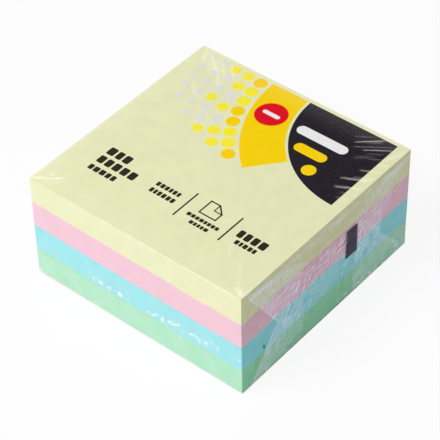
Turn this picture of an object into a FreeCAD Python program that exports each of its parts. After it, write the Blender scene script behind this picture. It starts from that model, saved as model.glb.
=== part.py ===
import FreeCAD, Part
import math
import os

# Block of four pads of sticky notes in a clear printed wrap, in millimetres.
# X runs along the label's lines, Y from the label's foot to its head, Z up.
# The origin is the middle of the underside. "Foot" is the side at low Y, "head" the side at high Y.

# Pads of notes
NOTE_X = 76.0
NOTE_Y = 76.0
SHEETS_PER_PAD = 100
SHEET_T = 0.091               # one note with its share of the adhesive
LINER_T = 0.12                # release paper that covers the last note's adhesive
PADS = ("green_notes", "blue_notes", "pink_notes", "yellow_notes")   # from the bottom up

# Wrap
FILM_T = 0.04
INK_T = 0.02                  # print on the film's inner side, thinner than the film
END_REACH = 26.5              # film past each end of the block, folded against that end
SEAM_Z = 9.5                  # lower edge of the long seam, on the foot side
SEAM_LAP = 5.0                # overlap of the film's two edges at the seam

# Slanting creases of the end flaps, as (start, run): how far in from the block's side the crease
# leaves the edge, and how far in it is where the flap ends
TOP_FOOT_CREASE = (1.7, 19.1)
TOP_HEAD_CREASE = (0.5, 16.6)
BOTTOM_FOOT_CREASE = (3.3, 21.3)
BOTTOM_HEAD_CREASE = (0.4, 24.6)

# Eye mark, printed where the film is cut, on the bottom flap's free edge
EYE_MARK_X = 5.0
EYE_MARK_Z = 10.25
EYE_MARK_INSET = 25.0         # from the head side

# Artwork: a quarter disc in the label's head corner, a ring part and arcs of dots round it
ART_SIDE_MARGIN = 3.6
ART_HEAD_MARGIN = 1.4
DISC_R = 31.0
RING_GAP = 0.8
RING_W = 13.0
RING_SWEEP = 50.0             # degrees, from the head edge down
DOT_R = 2.1
DOT_SHRINK = 0.88             # from one arc of dots to the next
DOT_PITCH = 4.7
DOT_ARCS = 5
DOT_SWEEP_LOSS = 6.0          # degrees that each further arc is shorter; the first ends level with the ring
TAG_CLEAR = 1.5               # ring left on each side of its round tag
TAG_ANGLE = 17.0
TAG_BAR_CLEAR = 2.0           # tag left at each end of its bar
TAG_BAR_Y = 1.5
RIM_CLEAR = 1.6               # disc left outside its bars and its spot
DISC_BAR_Y = 3.6
DISC_BARS = ((9.6, 11.0), (12.2, 17.4))     # near end and middle line, in and down from the corner
SPOT_R = 2.2
SPOT_ANGLE = 60.0

# Text row, shown as plain bars: left, foot, length and height from the label's foot corner
TITLE_BARS = ((9.5, 21.2, 8.1, 3.2), (9.5, 17.0, 13.7, 3.1), (9.5, 13.4, 9.7, 2.1))
COLOUR_BARS = ((29.2, 19.9, 8.4, 1.7), (29.2, 16.9, 8.7, 1.8))
SIZE_BARS = ((43.5, 16.1, 11.0, 1.3), (46.1, 13.9, 6.4, 1.3))
COUNT_BARS = ((59.5, 17.8, 9.6, 3.0), (60.8, 15.3, 7.1, 1.7))
RULES = (40.7, 56.6)          # upright rules between the text groups, from the label's left
RULE_FOOT = 13.6
RULE_LENGTH = 11.0
RULE_W = 0.5
ICON_LEFT = 45.6              # page with a turned corner
ICON_FOOT = 18.8
ICON_X = 6.1
ICON_Y = 5.9
ICON_EAR = 2.6
ICON_LINE = 0.45

SLIVER = 1e-4                 # square millimetres; smaller patches are left out
TOP, BOTTOM = 1, -1
FOOT, HEAD = -1, 1

PAD_T = SHEETS_PER_PAD * SHEET_T
PADS_Z = FILM_T + LINER_T
LABEL_Z = PADS_Z + len(PADS) * PAD_T
CEILING_Z = LABEL_Z + INK_T
WRAP_Z = CEILING_Z + FILM_T
END_X = NOTE_X / 2
SIDE_Y = NOTE_Y / 2
WRAP_Y = SIDE_Y + FILM_T


def block(x0, x1, y0, y1, z0, z1):
    return Part.makeBox(x1 - x0, y1 - y0, z1 - z0, FreeCAD.Vector(x0, y0, z0))


def polygon(points):
    return Part.Face(Part.makePolygon(points + points[:1]))


def pad(level):
    """One pad of notes, level counted from the bottom."""
    z = PADS_Z + level * PAD_T
    return block(-END_X, END_X, -SIDE_Y, SIDE_Y, z, z + PAD_T)


def liner():
    return block(-END_X, END_X, -SIDE_Y, SIDE_Y, FILM_T, PADS_Z)


# Wrap: a sleeve round the block, then flat layers folded on each end


def sleeve():
    """Film round the four long sides, with the doubled band of its seam on the foot side."""
    outside = block(-END_X, END_X, -WRAP_Y, WRAP_Y, 0, WRAP_Z)
    inside = block(-END_X, END_X, -SIDE_Y, SIDE_Y, FILM_T, CEILING_Z)
    wrap_round = 2 * FILM_T
    seam = block(-END_X - wrap_round, END_X + wrap_round, -WRAP_Y - FILM_T, -WRAP_Y,
                 SEAM_Z, SEAM_Z + SEAM_LAP)
    return outside.cut(inside).fuse(seam)


def corner_point(u, w, side, edge):
    """Point on the end from its distance in from a side and in from the top or bottom edge."""
    z = WRAP_Z - w if edge == TOP else w
    return FreeCAD.Vector(END_X, side * (WRAP_Y - u), z)


def tuck_crease_drop(crease):
    """How far from the edge a tuck's own crease is where the tuck ends.

    The film only lies flat if that crease and the flap's are 45 degrees apart.
    """
    start, run = crease
    lean = math.atan2(END_REACH, run - start) - math.radians(45)
    return (END_REACH - start) * math.tan(lean)


def tuck(side, top_crease, bottom_crease):
    """Side wall of the sleeve, turned in over the end first."""
    def at(u, w, edge):
        return corner_point(u, w, side, edge)

    return polygon([
        at(0, 0, BOTTOM), at(bottom_crease[0], 0, BOTTOM),
        at(END_REACH, tuck_crease_drop(bottom_crease), BOTTOM),
        at(END_REACH, tuck_crease_drop(top_crease), TOP),
        at(top_crease[0], 0, TOP), at(0, 0, TOP),
    ])


def gusset(side, edge, crease):
    """Triangle of film folded double between a tuck and a flap."""
    start, run = crease
    return polygon([
        corner_point(start, 0, side, edge),
        corner_point(END_REACH, tuck_crease_drop(crease), side, edge),
        corner_point(run, END_REACH, side, edge),
    ])


def flap(edge, foot_crease, head_crease):
    """Top or bottom of the sleeve, folded over the end as a trapezoid."""
    return polygon([
        corner_point(foot_crease[0], 0, FOOT, edge),
        corner_point(foot_crease[1], END_REACH, FOOT, edge),
        corner_point(head_crease[1], END_REACH, HEAD, edge),
        corner_point(head_crease[0], 0, HEAD, edge),
    ])


def seam_tail():
    """The seam's second layer where the foot tuck carries it on over the end."""
    reach = END_REACH - WRAP_Y
    return polygon([
        FreeCAD.Vector(END_X, -WRAP_Y, SEAM_Z), FreeCAD.Vector(END_X, reach, SEAM_Z),
        FreeCAD.Vector(END_X, reach, SEAM_Z + SEAM_LAP), FreeCAD.Vector(END_X, -WRAP_Y, SEAM_Z + SEAM_LAP),
    ])


def eye_mark_outline():
    y = SIDE_Y - EYE_MARK_INSET
    z = END_REACH
    return polygon([
        FreeCAD.Vector(END_X, y - EYE_MARK_X, z - EYE_MARK_Z), FreeCAD.Vector(END_X, y, z - EYE_MARK_Z),
        FreeCAD.Vector(END_X, y, z), FreeCAD.Vector(END_X, y - EYE_MARK_X, z),
    ])


def end_layers(marked):
    """Layers on one end from the inmost out, as (material, outline, thickness)."""
    outlines = [
        tuck(FOOT, TOP_FOOT_CREASE, BOTTOM_FOOT_CREASE),
        tuck(HEAD, TOP_HEAD_CREASE, BOTTOM_HEAD_CREASE),
        seam_tail(),
        gusset(FOOT, TOP, TOP_FOOT_CREASE),
        gusset(HEAD, TOP, TOP_HEAD_CREASE),
        flap(TOP, TOP_FOOT_CREASE, TOP_HEAD_CREASE),
        gusset(FOOT, BOTTOM, BOTTOM_FOOT_CREASE),
        gusset(HEAD, BOTTOM, BOTTOM_HEAD_CREASE),
        flap(BOTTOM, BOTTOM_FOOT_CREASE, BOTTOM_HEAD_CREASE),
    ]
    layers = [("film", outline, FILM_T) for outline in outlines]
    if marked:
        layers.insert(-1, ("ink", eye_mark_outline(), INK_T))
    return layers


def drape(layers):
    """Lay flat layers on the end in turn. Film drops onto whatever is there; ink also fills its steps."""
    ground = polygon([corner_point(0, 0, FOOT, BOTTOM), corner_point(0, 0, HEAD, BOTTOM),
                      corner_point(0, 0, HEAD, TOP), corner_point(0, 0, FOOT, TOP)])
    patches = [(ground, 0.0)]
    solids = {"film": [], "ink": []}
    for material, outline, thickness in layers:
        covered = split(patches, outline, Part.Face.common)
        bare = split(patches, outline, Part.Face.cut)
        highest = max(height for _, height in covered)
        after = []
        for patch, height in covered:
            top = (highest if material == "ink" else height) + thickness
            raised = patch.translated(FreeCAD.Vector(height, 0, 0))
            solids[material].append(raised.extrude(FreeCAD.Vector(top - height, 0, 0)))
            after.append((patch, top))
        patches = after + bare
    return solids


def split(patches, outline, operation):
    """The parts of each patch that a boolean with the outline leaves, at that patch's height."""
    return [(piece, height) for patch, height in patches
            for piece in operation(patch, outline).Faces if piece.Area > SLIVER]


def mirrored(shape):
    """The same shape on the other end of the block."""
    return shape.mirror(FreeCAD.Vector(0, 0, 0), FreeCAD.Vector(1, 0, 0))


def joined(solids):
    first, *others = solids
    return first.multiFuse(others).removeSplitter()


def wrap_and_eye_mark():
    """The whole wrap as one folded sheet, and the mark that lies under one bottom flap."""
    near = drape(end_layers(marked=True))
    far = drape(end_layers(marked=False))
    film = joined([sleeve()] + near["film"] + [mirrored(s) for s in far["film"]])
    return film, joined(near["ink"])


# Label: flat fields of ink on the film's inner side, over the top note


def label_point(u, v):
    """Point on the label from its distance in from the left and up from the foot."""
    return FreeCAD.Vector(u - END_X, v - SIDE_Y, LABEL_Z)


def art_point(inward, down):
    """Point on the label from the artwork's corner at the head."""
    return label_point(NOTE_X - ART_SIDE_MARGIN - inward, NOTE_Y - ART_HEAD_MARGIN - down)


def polar(radius, degrees):
    """Point at a radius about the artwork's corner, turned down from the head edge."""
    angle = math.radians(degrees)
    return art_point(radius * math.cos(angle), radius * math.sin(angle))


def bar(corner, length, height):
    x, y = FreeCAD.Vector(length, 0, 0), FreeCAD.Vector(0, height, 0)
    return polygon([corner, corner + x, corner + x + y, corner + y])


def label_bar(u, v, length, height):
    return bar(label_point(u, v), length, height)


def disc(centre, radius):
    circle = Part.Circle(centre, FreeCAD.Vector(0, 0, 1), radius)
    return Part.Face(Part.Wire(circle.toShape()))


def round_bar(middle, length, height):
    """Bar with half-round ends."""
    along = FreeCAD.Vector((length - height) / 2, 0, 0)
    up = FreeCAD.Vector(0, height / 2, 0)
    out = FreeCAD.Vector(length / 2, 0, 0)
    edges = [
        Part.makeLine(middle - along - up, middle + along - up),
        Part.Arc(middle + along - up, middle + out, middle + along + up).toShape(),
        Part.makeLine(middle + along + up, middle - along + up),
        Part.Arc(middle - along + up, middle - out, middle - along - up).toShape(),
    ]
    return Part.Face(Part.Wire(edges))


def sector(inner, outer, sweep):
    """Part of a ring about the artwork's corner, or a slice of a disc where inner is 0."""
    edges = [Part.Arc(polar(outer, 0), polar(outer, sweep / 2), polar(outer, sweep)).toShape()]
    if inner:
        edges.append(Part.makeLine(polar(outer, sweep), polar(inner, sweep)))
        edges.append(Part.Arc(polar(inner, sweep), polar(inner, sweep / 2), polar(inner, 0)).toShape())
        edges.append(Part.makeLine(polar(inner, 0), polar(outer, 0)))
    else:
        edges.append(Part.makeLine(polar(outer, sweep), art_point(0, 0)))
        edges.append(Part.makeLine(art_point(0, 0), polar(outer, 0)))
    return Part.Face(Part.Wire(edges))


def disc_bar(near, down):
    """Bar on the quarter disc from near the corner to a round end that keeps clear of the rim."""
    end_r = DISC_BAR_Y / 2
    far = math.sqrt((DISC_R - RIM_CLEAR - end_r) ** 2 - down ** 2) + end_r
    return round_bar(art_point((near + far) / 2, down), far - near, DISC_BAR_Y)


def without(face, holes):
    for hole in holes:
        face = face.cut(hole)
    return face


def dots():
    """Dots on arcs that get shorter and finer away from the ring, as a list for each arc.

    Each arc starts level with the ring's end at the head. The first one also ends level with its foot.
    """
    arcs = []
    ring_outer = DISC_R + RING_GAP + RING_W
    ring_foot = ring_outer * math.sin(math.radians(RING_SWEEP))
    radius = ring_outer + RING_GAP + DOT_PITCH / 2
    last = math.degrees(math.asin((ring_foot - DOT_R) / radius))
    dot_r = DOT_R
    for arc in range(DOT_ARCS):
        first = math.degrees(math.asin(dot_r / radius))
        sweep = last - DOT_SWEEP_LOSS * arc - first
        gaps = int(sweep / math.degrees(DOT_PITCH / radius))
        arcs.append([disc(polar(radius, first + sweep * i / gaps), dot_r) for i in range(gaps + 1)])
        radius += DOT_PITCH
        dot_r *= DOT_SHRINK
    return arcs


def dots_by_ink():
    """Deals the dots to three inks: strong ones near the ring, pale ones far out."""
    shares = {"print_amber": [], "print_lemon": [], "print_pale": []}
    order = ("print_amber", "print_lemon", "print_lemon", "print_pale", "print_pale")
    for arc, row in enumerate(dots()):
        for i, dot in enumerate(row):
            from_end = min(i, len(row) - 1 - i)
            shares[order[min(arc + from_end % 3, len(order) - 1)]].append(dot)
    return shares


def page_icon():
    """Outline of a page with one corner turned over."""
    x, y, ear, line = ICON_X, ICON_Y, ICON_EAR, ICON_LINE
    corners = ((0, 0), (x, 0), (x, y - ear), (x - ear, y), (0, y))
    page = polygon([label_point(ICON_LEFT + u, ICON_FOOT + v) for u, v in corners])
    frame = page.cut(page.makeOffset2D(-line))
    upright = label_bar(ICON_LEFT + x - ear, ICON_FOOT + y - ear, line, ear - line)
    level = label_bar(ICON_LEFT + x - ear, ICON_FOOT + y - ear, ear - line, line)
    return frame.fuse([upright, level]).removeSplitter().Faces


def label_fields():
    """Flat faces of the label for each ink."""
    white_bar, amber_bar = [disc_bar(near, down) for near, down in DISC_BARS]
    spot = disc(polar(DISC_R - RIM_CLEAR - SPOT_R, SPOT_ANGLE), SPOT_R)
    ring_inner = DISC_R + RING_GAP
    tag_centre = polar(ring_inner + RING_W / 2, TAG_ANGLE)
    tag_r = RING_W / 2 - TAG_CLEAR
    tag = disc(tag_centre, tag_r)
    tag_bar = round_bar(tag_centre, 2 * (tag_r - TAG_BAR_CLEAR), TAG_BAR_Y)
    ring = sector(ring_inner, ring_inner + RING_W, RING_SWEEP)
    fields = dots_by_ink()
    fields["print_charcoal"] = [without(sector(0, DISC_R, 90), [white_bar, amber_bar, spot])]
    fields["print_amber"] += [ring.cut(tag), amber_bar, spot]
    fields["print_red"] = [tag.cut(tag_bar)]
    fields["print_white"] = [white_bar, tag_bar]
    bars = TITLE_BARS + COLOUR_BARS + SIZE_BARS + COUNT_BARS
    rules = [label_bar(u, RULE_FOOT, RULE_W, RULE_LENGTH) for u in RULES]
    fields["print_text"] = [label_bar(*values) for values in bars] + rules + page_icon()
    return fields


def inked(faces):
    """Flat faces given the ink's thickness, as one compound."""
    up = FreeCAD.Vector(0, 0, INK_T)
    return Part.makeCompound([solid for face in faces for solid in face.extrude(up).Solids])


def nodes():
    parts = {name: pad(level) for level, name in enumerate(PADS)}
    parts["backing_liner"] = liner()
    parts["film_wrap"], parts["eye_mark"] = wrap_and_eye_mark()
    for name, faces in label_fields().items():
        parts[name] = inked(faces)
    return parts


os.makedirs("parts", exist_ok=True)
for node, shape in nodes().items():
    shape.exportStep(f"parts/{node}.step")
    box = shape.BoundBox
    print(node, len(shape.Solids), shape.isValid(), round(shape.Volume, 3), round(box.ZMin, 3), round(box.ZMax, 3))
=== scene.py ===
import json
import math

import bpy
import numpy as np
from mathutils import Matrix, Vector


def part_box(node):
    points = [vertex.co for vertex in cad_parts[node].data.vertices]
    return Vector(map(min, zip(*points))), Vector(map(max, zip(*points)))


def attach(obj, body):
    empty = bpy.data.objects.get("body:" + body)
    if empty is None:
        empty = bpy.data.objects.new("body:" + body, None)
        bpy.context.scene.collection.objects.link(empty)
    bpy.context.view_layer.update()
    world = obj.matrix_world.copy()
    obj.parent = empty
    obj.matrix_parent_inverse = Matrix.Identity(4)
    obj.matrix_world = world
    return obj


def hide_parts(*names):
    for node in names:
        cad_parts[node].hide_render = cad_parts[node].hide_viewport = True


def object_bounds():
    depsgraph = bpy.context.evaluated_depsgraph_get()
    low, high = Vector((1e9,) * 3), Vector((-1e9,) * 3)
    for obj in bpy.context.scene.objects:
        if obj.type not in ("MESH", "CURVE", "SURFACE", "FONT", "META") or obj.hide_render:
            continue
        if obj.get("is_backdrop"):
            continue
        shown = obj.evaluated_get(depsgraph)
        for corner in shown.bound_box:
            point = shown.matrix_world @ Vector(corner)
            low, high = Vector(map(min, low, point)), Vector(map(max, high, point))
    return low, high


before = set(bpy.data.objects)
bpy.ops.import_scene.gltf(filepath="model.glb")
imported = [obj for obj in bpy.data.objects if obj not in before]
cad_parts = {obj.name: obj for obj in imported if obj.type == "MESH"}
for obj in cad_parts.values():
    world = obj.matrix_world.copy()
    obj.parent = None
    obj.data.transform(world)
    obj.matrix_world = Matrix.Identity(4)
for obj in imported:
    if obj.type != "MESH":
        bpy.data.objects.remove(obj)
cad_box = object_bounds()

# Lengths are in millimetres until a mesh is made, and then in metres.
# X runs along the label's lines, Y from the label's foot to its head, Z up.
MM = 0.001


def node_box(node):
    low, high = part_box(node)
    return np.array(low) / MM, np.array(high) / MM


BLOCK_LOW = node_box("green_notes")[0]
BLOCK_HIGH = node_box("yellow_notes")[1]
WRAP_LOW, WRAP_HIGH = node_box("film_wrap")
FILM_T = WRAP_HIGH[1] - BLOCK_HIGH[1]
LABEL_Z = BLOCK_HIGH[2]
NOTE_X, NOTE_Y = (BLOCK_HIGH - BLOCK_LOW)[:2]
SHEETS_PER_PAD = 100
SHEET_T = (BLOCK_HIGH[2] - node_box("yellow_notes")[0][2]) / SHEETS_PER_PAD

# The film stands a hair off the block, so its bends are rounder than the paper's corners
FILM_SLACK = 0.08
FILM_SLACK_TOP = 0.06
BEND_R = 0.4
BEND_R_UNDER = 0.13
SKIN_LOW = np.array([BLOCK_LOW[0] - FILM_T - FILM_SLACK, BLOCK_LOW[1] - FILM_T - FILM_SLACK, WRAP_LOW[2]])
SKIN_HIGH = np.array([BLOCK_HIGH[0] + FILM_T + FILM_SLACK, BLOCK_HIGH[1] + FILM_T + FILM_SLACK,
                      WRAP_HIGH[2] + FILM_SLACK_TOP])
SKIN_X, SKIN_Y, SKIN_Z = SKIN_HIGH - SKIN_LOW

# Folds of the ends, as in the frame: where a flap's slanting crease starts and how far in it ends
END_REACH = 26.5
SEAM_Z = 9.5
SEAM_LAP = 5.0
SEAM_SOFT = 0.08              # half the width over which the lap's edges rise
TOP_FOOT_CREASE = (1.7, 19.1)
TOP_HEAD_CREASE = (0.5, 16.6)
BOTTOM_FOOT_CREASE = (3.3, 21.3)
BOTTOM_HEAD_CREASE = (0.4, 24.6)
LAYER_T = 0.05                # how much each folded layer raises the end's surface
LAYER_EDGE = (-0.06, 0.10)    # where a layer's edge starts and ends to rise, inward from its outline
EYE_MARK_Y = 5.0
EYE_MARK_Z = 10.25
EYE_MARK_INSET = 25.0
EYE_MARK_SUNK = 0.03          # how far the mark lies under the film's surface
EYE_MARK_T = 0.01

# How white the film's veil is: over the label, over the long sides, where it is painted reflection, and where
# many layers lie on an end
HAZE_FILM = 0.004
LONG_SIDE_HAZE_AND_SHEEN = 0.05
HAZE_LAYERS = 0.31
HAZE_RANGE = (-0.5, 0.9)      # the most painted shade and the whitest that an end gets
CRUMPLE_LIGHT_AND_SHADE = 0.17                # how strongly the creases of the sealed ends show, as painted light on their crests and painted shade in their troughs
CRUMPLE_RISE = 0.02
WAVE_TOP = 0.02               # height of the film's soft waves over the label and over the long sides
WAVE_SIDE = 0.015
WRINKLE_RISE = 0.16           # height of a wrinkle of strength 1
RIGHT_SEED = 41
LEFT_SEED = 71


# Small tools for meshes and fields


def piece(name, points, faces, smooth=True):
    """Mesh object from points in millimetres, riding on the part's one body."""
    mesh = bpy.data.meshes.new(name)
    mesh.from_pydata((np.asarray(points) * MM).tolist(), [], [list(f) for f in faces])
    mesh.update()
    if smooth:
        mesh.shade_smooth()
    thing = bpy.data.objects.new(name, mesh)
    bpy.context.scene.collection.objects.link(thing)
    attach(thing, "root")
    return thing


def smoothstep(low, high, value):
    """0 below low and 1 above high, with a smooth rise between."""
    t = np.clip((value - low) / (high - low), 0, 1)
    return t * t * (3 - 2 * t)


def falloff(low, high, value):
    """1 below low and 0 above high."""
    return 1 - smoothstep(low, high, value)


def edge_distance(a, b, length_a, length_b):
    """Distance to the nearest side of a rectangle that starts at 0, 0."""
    return np.minimum(np.minimum(a, length_a - a), np.minimum(b, length_b - b))


def ripple(a, b, scale, seed, waves=14):
    """Smooth random field over two coordinates, about -1 to 1, with bumps of roughly the given size."""
    dice = np.random.default_rng(seed)
    total = np.zeros(np.broadcast(a, b).shape)
    for _ in range(waves):
        turn = dice.uniform(0, math.tau)
        pitch = math.tau / (scale * dice.uniform(1.4, 3.2))
        total += np.sin(pitch * (a * math.cos(turn) + b * math.sin(turn)) + dice.uniform(0, math.tau))
    return total / math.sqrt(waves * 2)


def stroke(a, b, start, end, width):
    """Ridge along a segment, 1 on its middle line and fading to 0 at its sides and ends."""
    start, end = np.array(start, float), np.array(end, float)
    along = end - start
    length = np.hypot(*along)
    along /= length
    t = ((a - start[0]) * along[0] + (b - start[1]) * along[1]) / length
    across = (a - start[0]) * -along[1] + (b - start[1]) * along[0]
    fade = np.sqrt(np.clip(np.sin(np.pi * np.clip(t, 0, 1)), 0, 1))
    return np.exp(-(across / width) ** 2) * fade


def depth_inside(a, b, corners):
    """Distance inside a convex outline, negative outside it."""
    corners = np.array(corners, float)
    middle = corners.mean(0)
    depth = np.full(np.broadcast(a, b).shape, np.inf)
    for p, q in zip(corners, np.roll(corners, -1, 0)):
        side = q - p
        normal = np.array([-side[1], side[0]]) / np.hypot(*side)
        if (middle - p) @ normal < 0:
            normal = -normal
        depth = np.minimum(depth, (a - p[0]) * normal[0] + (b - p[1]) * normal[1])
    return depth


def grid_lines(length, fine, reach, coarse):
    """Places of grid lines from 0 to a length: close at the bends, fine up to a reach, then coarse."""
    bend = np.array([0, 0.05, 0.11, 0.18, 0.26, 0.36, 0.5, 0.75])
    start = np.concatenate([bend, np.arange(bend[-1] + fine, reach, fine)])
    middle = length - 2 * start[-1]
    count = max(1, math.ceil(middle / coarse))
    inner = np.linspace(start[-1], length - start[-1], count + 1)[1:-1]
    return np.concatenate([start, inner, length - start[::-1]])


def grid_quads(rows, columns, closed=False):
    """Quads of a grid of points stored row by row. A closed grid joins its last column to its first."""
    quads = []
    for i in range(rows - 1):
        for j in range(columns if closed else columns - 1):
            k = (j + 1) % columns
            quads.append((i * columns + j, i * columns + k, (i + 1) * columns + k, (i + 1) * columns + j))
    return quads


# Relief of the film, in millimetres off the skin, and its haze


def add_strokes(height, haze_and_painted_light, a, b, strokes, within=1.0):
    """Wrinkles given as from, to, half width and strength. The strength raises the film and paints a whiter
    line along it, a painted glint; a negative strength clears the film or paints shade.
    """
    for start, end, width, strength in strokes:
        ridge = stroke(a, b, start, end, width) * within
        height += WRINKLE_RISE * max(strength, 0) * ridge
        haze_and_painted_light += strength * ridge


def seeded_strokes(seed, count, low, high, reach, turn, width, strength):
    """Short random wrinkles in a box, all within a fan of directions, in degrees."""
    dice = np.random.default_rng(seed)
    for _ in range(count):
        start = np.array([dice.uniform(low[0], high[0]), dice.uniform(low[1], high[1])])
        way, length = math.radians(dice.uniform(*turn)), dice.uniform(*reach)
        end = start + length * np.array([math.cos(way), math.sin(way)])
        yield start, end, dice.uniform(*width), dice.uniform(*strength)


TOP_WRINKLES_AND_GLINTS = (              # over the label, each with a painted glint along its crest: from, to, half width, strength
    ((60.0, 70.3), (66.0, 74.4), 0.26, 0.10), ((61.8, 68.5), (69.2, 75.0), 0.22, 0.46),
    ((66.3, 69.4), (72.6, 73.8), 0.20, 0.12), ((65.6, 67.2), (73.0, 72.4), 0.20, 0.40),
    ((62.4, 66.4), (67.4, 70.2), 0.22, 0.14), ((64.6, 70.2), (68.8, 73.4), 0.18, 0.14),
    ((65.4, 63.0), (70.4, 67.2), 0.60, 0.06), ((67.6, 66.6), (71.6, 69.4), 0.18, 0.12),
    ((68.8, 64.8), (73.2, 67.6), 0.20, 0.12), ((73.0, 65.2), (75.6, 66.2), 0.34, 0.30),
    ((70.0, 59.8), (75.6, 62.8), 0.32, 0.28), ((67.6, 54.0), (75.6, 58.1), 0.34, 0.34),
    ((70.2, 56.4), (74.8, 58.9), 0.26, 0.14), ((68.4, 50.1), (75.4, 53.9), 0.34, 0.38),
    ((70.8, 48.9), (75.0, 51.1), 0.26, 0.12), ((72.6, 56.0), (75.6, 60.4), 0.60, 0.16),
    ((73.4, 68.6), (75.8, 74.0), 0.80, 0.20), ((72.9, 67.2), (74.6, 70.2), 0.40, 0.22),
    ((71.4, 47.0), (75.4, 48.8), 0.50, 0.12), ((60.4, 14.6), (63.4, 11.0), 0.70, 0.14),
    ((66.8, 11.4), (72.8, 2.8), 0.60, 0.12), ((72.4, 3.0), (75.6, 1.0), 0.80, 0.40),
    ((5.4, 73.8), (10.8, 68.6), 0.34, 0.55), ((7.0, 74.6), (15.9, 63.4), 0.50, 0.24),
    ((9.0, 73.9), (15.8, 66.8), 0.34, 0.30), ((12.4, 74.4), (17.6, 68.6), 0.40, 0.20),
    ((1.8, 75.4), (5.4, 69.4), 0.70, 0.22), ((3.4, 75.6), (11.0, 65.4), 0.50, 0.16),
    ((7.2, 62.4), (13.6, 56.4), 0.50, 0.14), ((17.6, 70.6), (20.6, 67.4), 0.34, 0.16),
    ((0.4, 0.7), (4.0, 3.3), 0.42, 0.62), ((4.2, 2.8), (8.1, 6.5), 0.32, 0.66),
    ((5.2, 1.8), (9.0, 5.0), 0.34, 0.26), ((3.2, 6.2), (4.9, 4.8), 0.80, 0.26),
    ((1.0, 12.5), (3.4, 7.4), 0.70, 0.10),
)


def top_relief(u, v):
    """Wrinkles of the film over the label, u from its left side and v from its foot."""
    inward = edge_distance(u, v, SKIN_X, SKIN_Y)
    height = WAVE_TOP * (ripple(u, v, scale=14, seed=3) + 1) * smoothstep(0, 4, inward)
    # The film is whiter along the label's left and head edges, with a painted sheen in a thin line where it
    # bends there, and a little whiter along its foot
    sheen_edge_distance = np.minimum(u, SKIN_Y - v)
    haze_and_painted_light = 0.10 * falloff(0.2, 1.6, sheen_edge_distance) * (1 + 0.5 * ripple(u, v, scale=3, seed=4))
    haze_and_painted_light += 0.03 * falloff(1.5, 9.0, sheen_edge_distance)
    haze_and_painted_light += 0.03 * smoothstep(0.0, 2.0, v) * falloff(2.0, 9.0, v)
    add_strokes(height, haze_and_painted_light, u, v, TOP_WRINKLES_AND_GLINTS)
    return height, haze_and_painted_light


FRONT_PUCKERS_AND_GLINTS = (             # along the seam, positive strengths painted glints and negative ones painted shade: from, to, half width, strength
    ((22.2, 10.8), (23.0, 12.4), 0.40, 0.25), ((24.4, 11.0), (26.2, 11.9), 0.50, 0.85),
    ((28.2, 10.4), (29.3, 12.2), 0.40, 0.60), ((30.2, 11.0), (31.0, 12.2), 0.34, 0.25),
    ((31.6, 10.8), (33.6, 11.6), 0.80, 0.98), ((42.0, 10.2), (44.1, 11.9), 0.30, 0.66),
    ((43.9, 10.2), (46.6, 12.3), 0.36, 0.82), ((47.7, 10.2), (48.6, 12.4), 0.52, 0.80),
    ((49.8, 11.5), (51.8, 12.8), 0.58, 0.55), ((51.9, 11.6), (54.8, 13.5), 0.32, 0.85),
    ((57.6, 12.0), (60.2, 12.7), 0.50, 0.70), ((60.6, 12.7), (61.4, 10.6), 0.38, 0.55),
    ((63.0, 11.0), (64.2, 12.7), 0.50, 0.66), ((65.2, 12.6), (66.6, 14.4), 0.60, 0.18),
    ((67.2, 12.0), (68.6, 13.6), 0.50, 0.25), ((75.2, 12.4), (76.0, 13.6), 0.34, 0.60),
    ((44.4, 10.0), (45.6, 10.3), 0.34, -0.10), ((61.6, 12.2), (62.3, 10.4), 0.40, -0.12),
    ((30.8, 10.0), (34.2, 9.7), 0.34, -0.10), ((46.6, 9.9), (47.2, 12.0), 0.30, -0.10),
    ((38.5, 9.6), (41.5, 13.0), 0.50, -0.04), ((27.2, 12.8), (27.8, 10.4), 0.34, -0.08),
)


SEAM_PUCKERS_AND_GLINTS = ((18, 36, 34), (41, 68, 52))    # small puckers along the seam, with painted glints and shade: from, to, how many


def seam_band(z):
    """1 on the long seam's lap, 0 above and below it."""
    low, high = SEAM_Z, SEAM_Z + SEAM_LAP
    return smoothstep(low - SEAM_SOFT, low + SEAM_SOFT, z) * falloff(high - SEAM_SOFT, high + SEAM_SOFT, z)


def long_side_relief(u, z, seamed):
    """Front and back of the sleeve. The foot side carries the seam, puckered where it was sealed."""
    height = WAVE_SIDE * (ripple(u, z, scale=12, seed=21 + seamed) + 1)
    # Whiter over the top pad and over the two lowest ones, most so at the label's left: painted reflection of
    # the film
    haze_and_painted_light = LONG_SIDE_HAZE_AND_SHEEN + (0.12 - 0.0005 * u) * smoothstep(26, 31, z)
    haze_and_painted_light += 0.10 * falloff(16, 20, z) + (0.16 - 0.0007 * u) * falloff(8, 10.5, z)
    haze_and_painted_light *= 1 + 0.22 * ripple(u + 0.5 * z, 0.4 * z, scale=4.5, seed=23 + seamed)
    if seamed:
        band = seam_band(z)
        height += LAYER_T * band
        haze_and_painted_light += 0.02 * band
        add_strokes(height, haze_and_painted_light, u, z, FRONT_PUCKERS_AND_GLINTS)
        for low, high, count in SEAM_PUCKERS_AND_GLINTS:
            specks = seeded_strokes(61 + low, count, (low, 10.2), (high, 12.4), reach=(0.4, 1.5),
                                    turn=(-10, 110), width=(0.16, 0.32), strength=(-0.10, 0.46))
            add_strokes(height, haze_and_painted_light, u, z, specks)
    for side, turn in ((0.0, (-20, 20)), (SKIN_X, (160, 200))):
        streaks = seeded_strokes(31 + seamed, 9, (side, 2), (side, SKIN_Z - 2), reach=(2, 7),
                                 turn=turn, width=(0.2, 0.4), strength=(0.03, 0.1))
        add_strokes(height, haze_and_painted_light, u, z, streaks)
    return height, haze_and_painted_light.clip(0)


def corner_outline(points, from_head, from_top):
    """Outline on an end from distances in from a side and in from the top or bottom edge."""
    return [(SKIN_Y - u if from_head else u, SKIN_Z - w if from_top else w) for u, w in points]


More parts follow.
